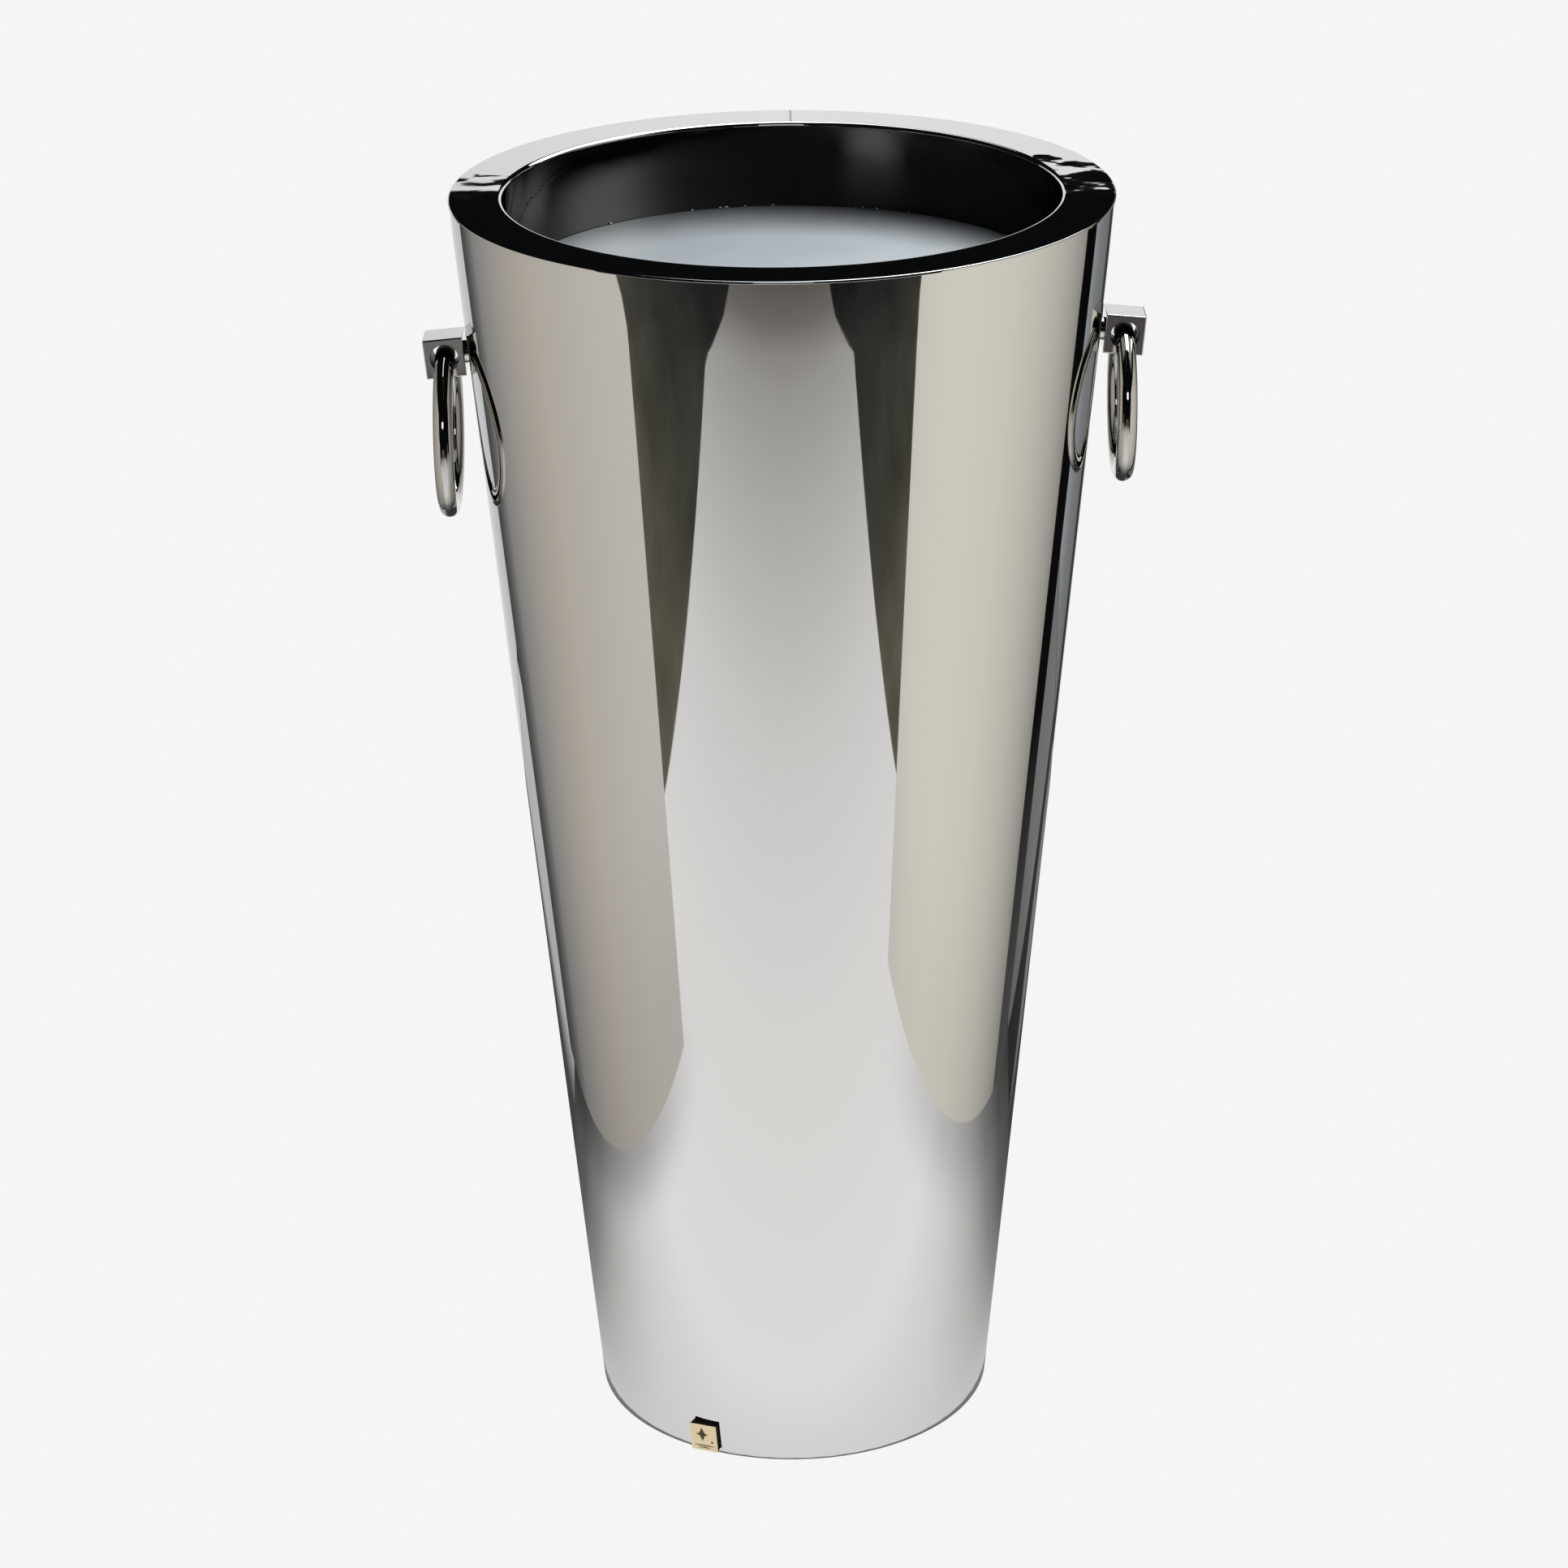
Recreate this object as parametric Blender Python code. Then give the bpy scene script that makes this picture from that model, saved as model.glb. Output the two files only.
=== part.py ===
"""Floor-standing champagne cooler in polished sheet steel, in metres, +Z up, standing on z = 0.

A rolled cone carries a flat spun rim. The rim is bent down into a shallow basin with a satin floor.
Two square eyes on the sides each hold a free ring handle. Inside the foot a base plate carries a
ballast disc and rubber feet. X runs through both handles, and -Y is the front.
"""

import math

import bmesh
import bpy
from mathutils import Matrix, Vector

MM = 0.001
GAP = 0.3 * MM  # clearance between pieces that touch on the real object

# Overall shape
HEIGHT = 806 * MM
RIM_RADIUS = 200 * MM
BASE_RADIUS = 127.2 * MM  # where the cone's outer line meets the ground
SHELL_SHEET = 1.2 * MM
SHELL_LIP = 8 * MM  # turned in at the foot, under the base plate
SHELL_EDGE = 0.6 * MM
FOOT_PROUD = 2 * MM  # the feet lift the shell's lower edge by this

# Rim and basin, one spun sheet
COLLAR_SHEET = 1.5 * MM
RIM_WIDTH = 30 * MM
RIM_EDGE = 0.8 * MM
RIM_BEND = 2.5 * MM
BASIN_DEPTH = 53.5 * MM
BASIN_TAPER = 2.5 * MM  # how much smaller the basin is at its floor than below the bend
FLOOR_SHEET = 1.5 * MM
FLOOR_LIP = 7 * MM
FLOOR_CLEARANCE = 0.4 * MM

# Base plate, ballast and feet
BASE_PLATE = 3 * MM
BASE_PLATE_CLEARANCE = 0.5 * MM
BALLAST_MARGIN = 16.4 * MM  # spanner room between the ballast and the foot nuts
BALLAST_HEIGHT = 30 * MM
BALLAST_BOLT = 5 * MM  # shank radius
BALLAST_HEAD_RADIUS = 9 * MM
BALLAST_HEAD = 1.4 * MM
BALLAST_WASHER_RADIUS = 14 * MM
BALLAST_WASHER = 2 * MM
BALLAST_NUT_FLATS = 16 * MM
BALLAST_NUT = 8 * MM
FOOT_COUNT = 4
FOOT_RADIUS = 14 * MM
FOOT_INSET = 9.2 * MM  # from the shell's turned-in lip to a foot
FOOT_WEB = 0.9 * MM  # rubber left above the screw head
FOOT_EDGE = 0.5 * MM
FOOT_SCREW = 2 * MM
FOOT_HEAD_RADIUS = 4.1 * MM
FOOT_HEAD = 1.4 * MM
FOOT_NUT_FLATS = 8 * MM
FOOT_NUT = 4 * MM
BOLT_CLEARANCE = 0.35 * MM  # round every shank
THREAD_PROUD = 2 * MM  # shank past its nut

# Handles
HANDLE_DROPS = {"left": 98.1 * MM, "right": 88 * MM}  # from the rim down to each stud
EYE_WIDTH = 24 * MM  # along the bore
EYE_WALL = 3.7 * MM  # round the bore, and deep enough for the stud's blind hole
EYE_EDGE = 0.8 * MM
EYE_CHAMFER = 1 * MM
NECK_LENGTH = 2.3 * MM
NECK_RADIUS = 7.2 * MM
STUD_RADIUS = 3.6 * MM
STUD_IN_EYE = 1.9 * MM
SPREADER_RADIUS = 15 * MM
SPREADER = 1.5 * MM
HANDLE_NUT_FLATS = 12 * MM
HANDLE_NUT = 6.5 * MM
RING_RADII = {"left": 48 * MM, "right": 44 * MM}  # centre lines
RING_WIRE = 6 * MM
RING_DROP = 0.3 * MM  # the wire hangs this far below the bore's axis
RING_PLAY = 0.26 * MM  # under the curved wire at the ends of the bore

# Badge
BADGE_WIDTH = 18.5 * MM
BADGE_HEIGHT = 20 * MM
BADGE_PLATE = 0.9 * MM
BADGE_PAD = 2.1 * MM
BADGE_PAD_INSET = 0.4 * MM
BADGE_EDGE = 0.25 * MM
BADGE_LOW = 3.6 * MM  # from the ground to its lower edge
BADGE_AZIMUTH = math.radians(26.7)  # left of the front
BADGE_TWIST = math.radians(3)  # the flat plate leans on one edge of its pad
BADGE_ROLL = math.radians(2)  # and is stuck on a little crooked

# Facets
LARGE_STEPS = 96
MEDIUM_STEPS = 48
SMALL_STEPS = 24
WIRE_STEPS = 14
ARC_STEPS = 4

# Worked out from the sizes above
TAPER = math.atan2(RIM_RADIUS - BASE_RADIUS, HEIGHT)
SHELL_ACROSS = SHELL_SHEET / math.cos(TAPER)  # the sheet, measured level
SHELL_TOP = HEIGHT - COLLAR_SHEET - GAP
FLOOR_TOP = HEIGHT - BASIN_DEPTH
BASIN_TOP_RADIUS = RIM_RADIUS - RIM_WIDTH - RIM_BEND
BASIN_FLOOR_RADIUS = BASIN_TOP_RADIUS - BASIN_TAPER
PLATE_BOTTOM = FOOT_PROUD + SHELL_SHEET + GAP
PLATE_TOP = PLATE_BOTTOM + BASE_PLATE
FOOT_SHELL_RADIUS = BASE_RADIUS + (RIM_RADIUS - BASE_RADIUS) * FOOT_PROUD / HEIGHT
LIP_RADIUS = FOOT_SHELL_RADIUS - SHELL_ACROSS - SHELL_LIP
FOOT_CIRCLE = LIP_RADIUS - FOOT_INSET - FOOT_RADIUS
BALLAST_RADIUS = FOOT_CIRCLE - FOOT_NUT_FLATS / math.sqrt(3) - BALLAST_MARGIN
RING_BORE = min(RING_RADII.values()) - RING_WIRE
RING_SAG = RING_BORE - math.sqrt(RING_BORE**2 - (EYE_WIDTH / 2) ** 2)  # of the wire across the eye
EYE_BORE = RING_WIRE + RING_SAG + RING_DROP + RING_PLAY
EYE_SIDE = 2 * (EYE_BORE + EYE_WALL)  # the block is square seen along its bore
EYE_CENTRE = NECK_LENGTH + EYE_SIDE / 2
BADGE_CENTRE = BADGE_LOW + BADGE_HEIGHT / 2

# sRGB colour, metallic, roughness
POLISHED = ((0.80, 0.80, 0.79), 1.0, 0.06)
SATIN = ((0.66, 0.68, 0.70), 1.0, 0.32)
PLAIN_STEEL = ((0.55, 0.55, 0.56), 1.0, 0.40)
ZINC = ((0.70, 0.71, 0.72), 1.0, 0.35)
CAST_IRON = ((0.20, 0.20, 0.21), 1.0, 0.65)
RUBBER = ((0.03, 0.03, 0.03), 0.0, 0.80)
FOAM = ((0.02, 0.02, 0.02), 0.0, 0.90)
GOLD = ((0.80, 0.69, 0.50), 1.0, 0.30)


def clear_scene():
    for thing in list(bpy.data.objects):
        bpy.data.objects.remove(thing)


def to_linear(value):
    return value / 12.92 if value <= 0.04045 else ((value + 0.055) / 1.055) ** 2.4


def material(name, finish):
    colour, metallic, roughness = finish
    made = bpy.data.materials.new(name)
    made.use_nodes = True
    shader = made.node_tree.nodes["Principled BSDF"]
    shader.inputs["Base Color"].default_value = (*map(to_linear, colour), 1)
    shader.inputs["Metallic"].default_value = metallic
    shader.inputs["Roughness"].default_value = roughness
    return made


def shell_radius(height):
    """The cone's outer radius at a height."""
    return BASE_RADIUS + (RIM_RADIUS - BASE_RADIUS) * height / HEIGHT


def arc(centre, radius, start, end, steps=ARC_STEPS):
    """Points on an arc in the (radius, height) plane, angles in degrees."""
    angles = [math.radians(start + (end - start) * i / steps) for i in range(steps + 1)]
    return [(centre[0] + radius * math.cos(a), centre[1] + radius * math.sin(a)) for a in angles]


def add_object(name, bm, finish=None, parent=None):
    bmesh.ops.recalc_face_normals(bm, faces=bm.faces)
    mesh = bpy.data.meshes.new(name)
    bm.to_mesh(mesh)
    bm.free()
    mesh.shade_smooth()
    mesh.set_sharp_from_angle(angle=math.radians(30))
    made = bpy.data.objects.new(name, mesh)
    bpy.context.scene.collection.objects.link(made)
    made.parent = parent
    if finish:
        mesh.materials.append(material(name, finish))
    return made


def add_empty(name, location, rotation=(0, 0, 0), parent=None):
    made = bpy.data.objects.new(name, None)
    bpy.context.scene.collection.objects.link(made)
    made.empty_display_size = 0.02
    made.location = location
    made.rotation_euler = rotation
    made.parent = parent
    return made


def turned(name, outline, finish=None, steps=SMALL_STEPS, parent=None):
    """A solid turned about local Z. An outline that ends on the axis both ways stays open there."""
    bm = bmesh.new()
    corners = [bm.verts.new((radius, 0, height)) for radius, height in outline]
    edges = [bm.edges.new(pair) for pair in zip(corners, corners[1:])]
    if outline[0][0] > 0:
        edges.append(bm.edges.new((corners[-1], corners[0])))
    bmesh.ops.spin(
        bm,
        geom=corners + edges,
        axis=(0, 0, 1),
        cent=(0, 0, 0),
        angle=2 * math.pi,
        steps=steps,
        use_merge=True,
    )
    bmesh.ops.remove_doubles(bm, verts=bm.verts, dist=0.001 * MM)
    return add_object(name, bm, finish, parent)


def disc_outline(radius, bottom, top):
    return [(0, bottom), (radius, bottom), (radius, top), (0, top)]


def ring_outline(bore, radius, bottom, top):
    return [(bore, bottom), (radius, bottom), (radius, top), (bore, top)]


def block(name, size, centre, edge, finish, parent, segments=2):
    """A box with rounded edges."""
    bm = bmesh.new()
    place = Matrix.Translation(centre) @ Matrix.Diagonal((*size, 1))
    bmesh.ops.create_cube(bm, size=1, matrix=place)
    bmesh.ops.bevel(bm, geom=bm.edges, offset=edge, segments=segments, profile=0.5, affect="EDGES")
    return add_object(name, bm, finish, parent)


def hexagon(name, flats, bore, bottom, top, finish, parent=None):
    """A hexagon nut about local Z, with a plain bore."""
    bm = bmesh.new()
    radius = flats / math.sqrt(3)
    place = Matrix.Translation((0, 0, (bottom + top) / 2))
    bmesh.ops.create_cone(
        bm, cap_ends=True, segments=6, radius1=radius, radius2=radius, depth=top - bottom, matrix=place
    )
    nut = add_object(name, bm, finish, parent)
    drill(nut, bore, bottom - GAP, top + GAP, parent=parent)
    return nut


def cut(target, cutter):
    """Takes the cutter out of the target."""
    cutter.hide_render = True
    cutter.display_type = "WIRE"
    change = target.modifiers.new("cut", "BOOLEAN")
    change.operation = "DIFFERENCE"
    change.solver = "EXACT"
    change.object = cutter


def drill(target, radius, bottom, top, location=(0, 0, 0), parent=None):
    """A round hole along local Z."""
    cutter = turned(target.name + "_hole", disc_outline(radius, bottom, top), parent=parent)
    cutter.location = location
    cut(target, cutter)
    return cutter


def outer_shell():
    """The rolled cone, seamless outside, with its lower edge turned in to carry the base plate."""
    lip_top = FOOT_PROUD + SHELL_SHEET
    outline = [
        (FOOT_SHELL_RADIUS - SHELL_EDGE, FOOT_PROUD),
        (shell_radius(FOOT_PROUD + SHELL_EDGE), FOOT_PROUD + SHELL_EDGE),
        (shell_radius(SHELL_TOP), SHELL_TOP),
        (shell_radius(SHELL_TOP) - SHELL_ACROSS, SHELL_TOP),
        (shell_radius(lip_top) - SHELL_ACROSS, lip_top),
        (LIP_RADIUS, lip_top),
        (LIP_RADIUS, FOOT_PROUD),
    ]
    return turned("outer_shell", outline, POLISHED, LARGE_STEPS)


def rim_collar():
    """The flat rim, its rolled bend and the basin's wall, with a lip that carries the floor."""
    lip_top = FLOOR_TOP - FLOOR_SHEET - GAP
    lip_bottom = lip_top - COLLAR_SHEET
    under = HEIGHT - COLLAR_SHEET
    bend_start = RIM_RADIUS - RIM_WIDTH
    bend = (bend_start, HEIGHT - RIM_BEND)
    outline = [(RIM_RADIUS, under)]
    outline += arc((RIM_RADIUS - RIM_EDGE, HEIGHT - RIM_EDGE), RIM_EDGE, 0, 90, 2)
    outline += arc(bend, RIM_BEND, 90, 180)
    outline += [
        (BASIN_FLOOR_RADIUS, lip_top),
        (BASIN_FLOOR_RADIUS - FLOOR_LIP, lip_top),
        (BASIN_FLOOR_RADIUS - FLOOR_LIP, lip_bottom),
        (BASIN_FLOOR_RADIUS + COLLAR_SHEET, lip_bottom),
    ]
    outline += arc(bend, RIM_BEND - COLLAR_SHEET, 180, 90, 2)
    return turned("rim_collar", outline, POLISHED, LARGE_STEPS)


def basin_floor():
    radius = BASIN_FLOOR_RADIUS - FLOOR_CLEARANCE
    return turned("basin_floor", disc_outline(radius, FLOOR_TOP - FLOOR_SHEET, FLOOR_TOP), SATIN, LARGE_STEPS)


def foot_places():
    turn = 2 * math.pi / FOOT_COUNT
    angles = [turn * (i + 0.5) for i in range(FOOT_COUNT)]
    return [(FOOT_CIRCLE * math.cos(a), FOOT_CIRCLE * math.sin(a), 0) for a in angles]


def base():
    """The plate that closes the foot, and the ballast bolted down on it."""
    radius = shell_radius(PLATE_BOTTOM) - SHELL_ACROSS - BASE_PLATE_CLEARANCE
    plate = turned("base_plate", disc_outline(radius, PLATE_BOTTOM, PLATE_TOP), PLAIN_STEEL, MEDIUM_STEPS)
    drill(plate, BALLAST_BOLT + BOLT_CLEARANCE, PLATE_BOTTOM - GAP, PLATE_TOP + GAP)
    for place in foot_places():
        drill(plate, FOOT_SCREW + BOLT_CLEARANCE, PLATE_BOTTOM - GAP, PLATE_TOP + GAP, place)

    ballast_bottom = PLATE_TOP + GAP
    ballast_top = ballast_bottom + BALLAST_HEIGHT
    bore = BALLAST_BOLT + BOLT_CLEARANCE
    outline = ring_outline(bore, BALLAST_RADIUS, ballast_bottom, ballast_top)
    turned("ballast_disc", outline, CAST_IRON, MEDIUM_STEPS)

    washer_bottom = ballast_top + GAP
    washer_top = washer_bottom + BALLAST_WASHER
    outline = ring_outline(bore, BALLAST_WASHER_RADIUS, washer_bottom, washer_top)
    turned("ballast_washer", outline, ZINC)
    nut_bottom = washer_top + GAP
    nut_top = nut_bottom + BALLAST_NUT
    hexagon("ballast_nut", BALLAST_NUT_FLATS, bore, nut_bottom, nut_top, ZINC)

    head_top = PLATE_BOTTOM - GAP
    outline = [
        (0, head_top - BALLAST_HEAD),
        (BALLAST_HEAD_RADIUS, head_top - BALLAST_HEAD),
        (BALLAST_HEAD_RADIUS, head_top),
        (BALLAST_BOLT, head_top),
        (BALLAST_BOLT, nut_top + THREAD_PROUD),
        (0, nut_top + THREAD_PROUD),
    ]
    turned("ballast_bolt", outline, ZINC)


def feet():
    """Rubber pads under the base plate, each held by a screw into a nut on the plate."""
    pad_top = PLATE_BOTTOM - GAP
    recess = pad_top - FOOT_WEB
    head_top = recess - GAP
    hole = FOOT_SCREW + BOLT_CLEARANCE
    head_hole = FOOT_HEAD_RADIUS + BOLT_CLEARANCE
    pad = [
        (head_hole, 0),
        (FOOT_RADIUS - FOOT_EDGE, 0),
        (FOOT_RADIUS, FOOT_EDGE),
        (FOOT_RADIUS, pad_top),
        (hole, pad_top),
        (hole, recess),
        (head_hole, recess),
    ]
    nut_bottom = PLATE_TOP + GAP
    nut_top = nut_bottom + FOOT_NUT
    screw = [
        (0, head_top - FOOT_HEAD),
        (FOOT_HEAD_RADIUS, head_top - FOOT_HEAD),
        (FOOT_HEAD_RADIUS, head_top),
        (FOOT_SCREW, head_top),
        (FOOT_SCREW, nut_top + THREAD_PROUD / 2),
        (0, nut_top + THREAD_PROUD / 2),
    ]
    for number, place in enumerate(foot_places(), 1):
        stand = add_empty(f"foot_place_{number}", place)
        turned(f"foot_pad_{number}", pad, RUBBER, parent=stand)
        turned(f"foot_screw_{number}", screw, ZINC, parent=stand)
        hexagon(f"foot_nut_{number}", FOOT_NUT_FLATS, hole, nut_bottom, nut_top, ZINC, stand)


def eye_block(side, place, outwards):
    """The square block that holds a ring, bored across, with a blind hole for its stud."""
    size = (EYE_SIDE, EYE_WIDTH, EYE_SIDE)
    eye = block(f"handle_eye_{side}", size, (EYE_CENTRE, 0, 0), EYE_EDGE, POLISHED, place)
    half = EYE_WIDTH / 2
    flare = EYE_BORE + EYE_CHAMFER
    outline = [
        (0, -half - EYE_CHAMFER),
        (flare + EYE_CHAMFER, -half - EYE_CHAMFER),
        (EYE_BORE, -half + EYE_CHAMFER),
        (EYE_BORE, half - EYE_CHAMFER),
        (flare + EYE_CHAMFER, half + EYE_CHAMFER),
        (0, half + EYE_CHAMFER),
    ]
    bore = turned(f"eye_bore_{side}", outline, steps=2 * SMALL_STEPS, parent=place)
    bore.location = (EYE_CENTRE, 0, 0)
    bore.rotation_euler = (math.pi / 2, 0, 0)
    cut(eye, bore)
    blind_end = NECK_LENGTH + STUD_IN_EYE + GAP
    drill(eye, STUD_RADIUS + BOLT_CLEARANCE, 0, blind_end, parent=outwards)


def handle_fixing(side, outwards, radius):
    """The necked stud through the shell, and its spreader and nut inside."""
    neck_end = NECK_LENGTH - GAP
    bore = STUD_RADIUS + BOLT_CLEARANCE
    hollow = SPREADER_RADIUS**2 / (2 * (radius - SHELL_ACROSS))  # depth of the shell's curve under it
    spreader_top = -SHELL_SHEET - hollow - GAP
    spreader_bottom = spreader_top - SPREADER
    nut_top = spreader_bottom - GAP
    nut_bottom = nut_top - HANDLE_NUT
    stud_end = nut_bottom - THREAD_PROUD
    outline = [
        (0, stud_end),
        (STUD_RADIUS, stud_end),
        (STUD_RADIUS, GAP),
        (NECK_RADIUS, GAP),
        (NECK_RADIUS, neck_end),
        (STUD_RADIUS, neck_end),
        (STUD_RADIUS, NECK_LENGTH + STUD_IN_EYE),
        (0, NECK_LENGTH + STUD_IN_EYE),
    ]
    turned(f"handle_stud_{side}", outline, POLISHED, parent=outwards)
    outline = ring_outline(bore, SPREADER_RADIUS, spreader_bottom, spreader_top)
    turned(f"handle_spreader_{side}", outline, PLAIN_STEEL, parent=outwards)
    hexagon(f"handle_nut_{side}", HANDLE_NUT_FLATS, bore, nut_bottom, nut_top, ZINC, outwards)


def ring_handle(side, pivot):
    """A closed ring of round bar. Its origin is the wire's centre in the eye, on the hinge axis."""
    turns = [2 * math.pi * i / WIRE_STEPS for i in range(WIRE_STEPS)]
    radius = RING_RADII[side]
    outline = [(radius + RING_WIRE * math.cos(a), RING_WIRE * math.sin(a)) for a in turns]
    ring = turned(f"handle_ring_{side}", outline, POLISHED, MEDIUM_STEPS)
    upright = Matrix.Rotation(math.pi / 2, 4, "Y")
    ring.data.transform(Matrix.Translation((0, 0, -radius)) @ upright)
    ring.location = pivot


def handle(side, shell):
    """One handle. Its place lies on the shell, with local X square to the sloping wall."""
    height = HEIGHT - HANDLE_DROPS[side]
    radius = shell_radius(height)
    facing = math.pi if side == "left" else 0
    outward = Vector((math.cos(facing), math.sin(facing), 0))
    place = add_empty(f"handle_place_{side}", outward * radius + Vector((0, 0, height)), (0, TAPER, facing))
    outwards = add_empty(f"handle_axis_{side}", (0, 0, 0), (0, math.pi / 2, 0), place)
    eye_block(side, place, outwards)
    handle_fixing(side, outwards, radius)
    drill(shell, STUD_RADIUS + BOLT_CLEARANCE, -SHELL_SHEET * 4, SHELL_SHEET * 4, parent=outwards)
    normal = outward * math.cos(TAPER) - Vector((0, 0, math.sin(TAPER)))
    ring_handle(side, place.location + normal * EYE_CENTRE - Vector((0, 0, RING_DROP)))


def badge():
    """A flat gilt plate on a foam pad, low on the front. The pad's back follows the cone."""
    facing = -math.pi / 2 - BADGE_AZIMUTH
    radius = shell_radius(BADGE_CENTRE)
    spot = (radius * math.cos(facing), radius * math.sin(facing), BADGE_CENTRE)
    place = add_empty("badge_place", spot, (0, TAPER, facing))
    face = add_empty("badge_face", (0, 0, 0), (BADGE_ROLL, 0, BADGE_TWIST), place)
    size = (BADGE_PLATE, BADGE_WIDTH, BADGE_HEIGHT)
    centre = (BADGE_PAD + GAP + BADGE_PLATE / 2, 0, 0)
    block("badge_plate", size, centre, BADGE_EDGE, GOLD, face, 1)
    buried = BADGE_PAD  # the pad starts this deep inside the cone, and the cone is then cut away
    size = (BADGE_PAD + buried, BADGE_WIDTH - 2 * BADGE_PAD_INSET, BADGE_HEIGHT - 2 * BADGE_PAD_INSET)
    pad = block("badge_pad", size, ((BADGE_PAD - buried) / 2, 0, 0), BADGE_EDGE, FOAM, face, 1)
    top = BADGE_CENTRE + BADGE_HEIGHT
    bottom = BADGE_CENTRE - BADGE_HEIGHT
    outline = [(0, bottom), (shell_radius(bottom) + GAP, bottom), (shell_radius(top) + GAP, top), (0, top)]
    cut(pad, turned("badge_pad_back", outline, steps=2 * LARGE_STEPS))


def main():
    clear_scene()
    shell = outer_shell()
    rim_collar()
    basin_floor()
    base()
    feet()
    for side in HANDLE_DROPS:
        handle(side, shell)
    badge()


main()
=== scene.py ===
"""Looks for the floor-standing champagne cooler, in metres, +Z up, with -Y as its front."""

import math

import bmesh
import bpy
from mathutils import Matrix, Vector


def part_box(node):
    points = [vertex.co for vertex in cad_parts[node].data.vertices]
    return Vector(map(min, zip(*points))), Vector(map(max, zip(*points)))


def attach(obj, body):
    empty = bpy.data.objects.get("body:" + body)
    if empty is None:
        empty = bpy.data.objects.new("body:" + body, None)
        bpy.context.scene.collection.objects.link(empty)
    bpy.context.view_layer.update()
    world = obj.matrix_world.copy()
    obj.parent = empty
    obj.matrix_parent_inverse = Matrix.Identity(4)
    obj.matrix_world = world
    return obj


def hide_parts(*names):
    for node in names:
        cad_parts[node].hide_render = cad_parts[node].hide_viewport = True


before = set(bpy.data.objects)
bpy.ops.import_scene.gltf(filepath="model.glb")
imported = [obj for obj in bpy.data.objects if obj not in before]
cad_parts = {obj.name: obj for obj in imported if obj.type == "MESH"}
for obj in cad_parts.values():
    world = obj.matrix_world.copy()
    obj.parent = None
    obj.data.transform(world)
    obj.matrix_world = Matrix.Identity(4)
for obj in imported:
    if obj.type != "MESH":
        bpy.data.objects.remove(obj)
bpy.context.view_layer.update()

MM = 0.001

# Sizes the frame doesn't give as a box
CONE_FOOT = 127.2 * MM  # the cone's outer radius at the ground
SHEET = 1.2 * MM
SHELL_EDGE = 0.55 * MM  # round of the turned-in lower edge
SHELL_LIP = 8 * MM  # how far the lower edge turns in
SHELL_PULL = 0.35 * MM  # how far the weld under the rim has drawn the cone in
SHELL_PULL_HEIGHT = 45 * MM
STUD_HOLE = 4 * MM
RIM_SHEET = 1.5 * MM
RIM_WIDTH = 30 * MM
RIM_EDGE = 0.8 * MM
RIM_BEND = 2.5 * MM
BASIN_TAPER = 2.5 * MM
FLOOR_LIP = 7 * MM
FLOOR_SHEET = 1.8 * MM  # from the floor's top down to the lip that carries it
FLOOR_EDGE = 0.4 * MM
SEAM_SIZE = (1.5 * MM, RIM_WIDTH - 1.6 * MM, 0.5 * MM)
SEAM_ACROSS = 6 * MM  # right of the middle of the back
NECK = 2.3 * MM
NECK_RADIUS = 7.2 * MM
STUD_RADIUS = 3.6 * MM
EYE_SIDE = 24.41 * MM
EYE_WIDTH = 24 * MM
EYE_BORE = 8.504 * MM
EYE_EDGE = 0.8 * MM
EYE_FLARE = EYE_BORE + 0.3 * MM  # the countersunk mouths of the bore
STUD_TIP = 1.9 * MM  # how far the stud reaches into the eye
RING_RADII = {"left": 48 * MM, "right": 44 * MM}
RING_WIRE = 6 * MM
HANDLE_DROPS = {"left": 98.1 * MM, "right": 88 * MM}
BADGE_SIZE = (0.9 * MM, 18.5 * MM, 20 * MM)
BADGE_CENTRE = 13.6 * MM
BADGE_AZIMUTH = math.radians(26.7)
BADGE_TWIST = math.radians(3)
BADGE_ROLL = math.radians(2)
BADGE_STAND_OFF = 2.4 * MM
ENGRAVING = 0.2 * MM
WELD_TOLERANCE = 0.002 * MM  # points closer than this are one point

RIM_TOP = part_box("rim_collar")[1].z
RIM_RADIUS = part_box("rim_collar")[1].x
SHELL_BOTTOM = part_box("outer_shell")[0].z
BASIN_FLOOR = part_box("basin_floor")[1].z
BASIN_RADIUS = RIM_RADIUS - RIM_WIDTH - RIM_BEND  # just under the bend
TAPER = math.atan2(RIM_RADIUS - CONE_FOOT, RIM_TOP)


# ---------------------------------------------------------------- materials


def linear(colour):
    """An sRGB hex colour as linear red, green, blue and alpha."""
    parts = [int(colour[i : i + 2], 16) / 255 for i in (1, 3, 5)]
    return (*[p / 12.92 if p <= 0.04045 else ((p + 0.055) / 1.055) ** 2.4 for p in parts], 1)


def add(tree, kind, settings=None, inputs=None):
    """Adds one node. Settings are its own properties, and inputs are values or sockets to link from."""
    node = tree.nodes.new(kind)
    for name, value in (settings or {}).items():
        if name == "stops":
            ramp = node.color_ramp.elements
            while len(ramp) < len(value):
                ramp.new(0.5)
            for stop, (place, colour) in zip(ramp, value):
                stop.position = place
                stop.color = colour
        else:
            setattr(node, name, value)
    for name, value in (inputs or {}).items():
        if isinstance(value, bpy.types.NodeSocket):
            tree.links.new(value, node.inputs[name])
        else:
            node.inputs[name].default_value = value
    return node


def empty_material(name):
    """A new material with only its output left, and its tree."""
    made = bpy.data.materials.new(name)
    made.use_nodes = True
    tree = made.node_tree
    tree.nodes.clear()
    return made, tree, add(tree, "ShaderNodeOutputMaterial")


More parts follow.
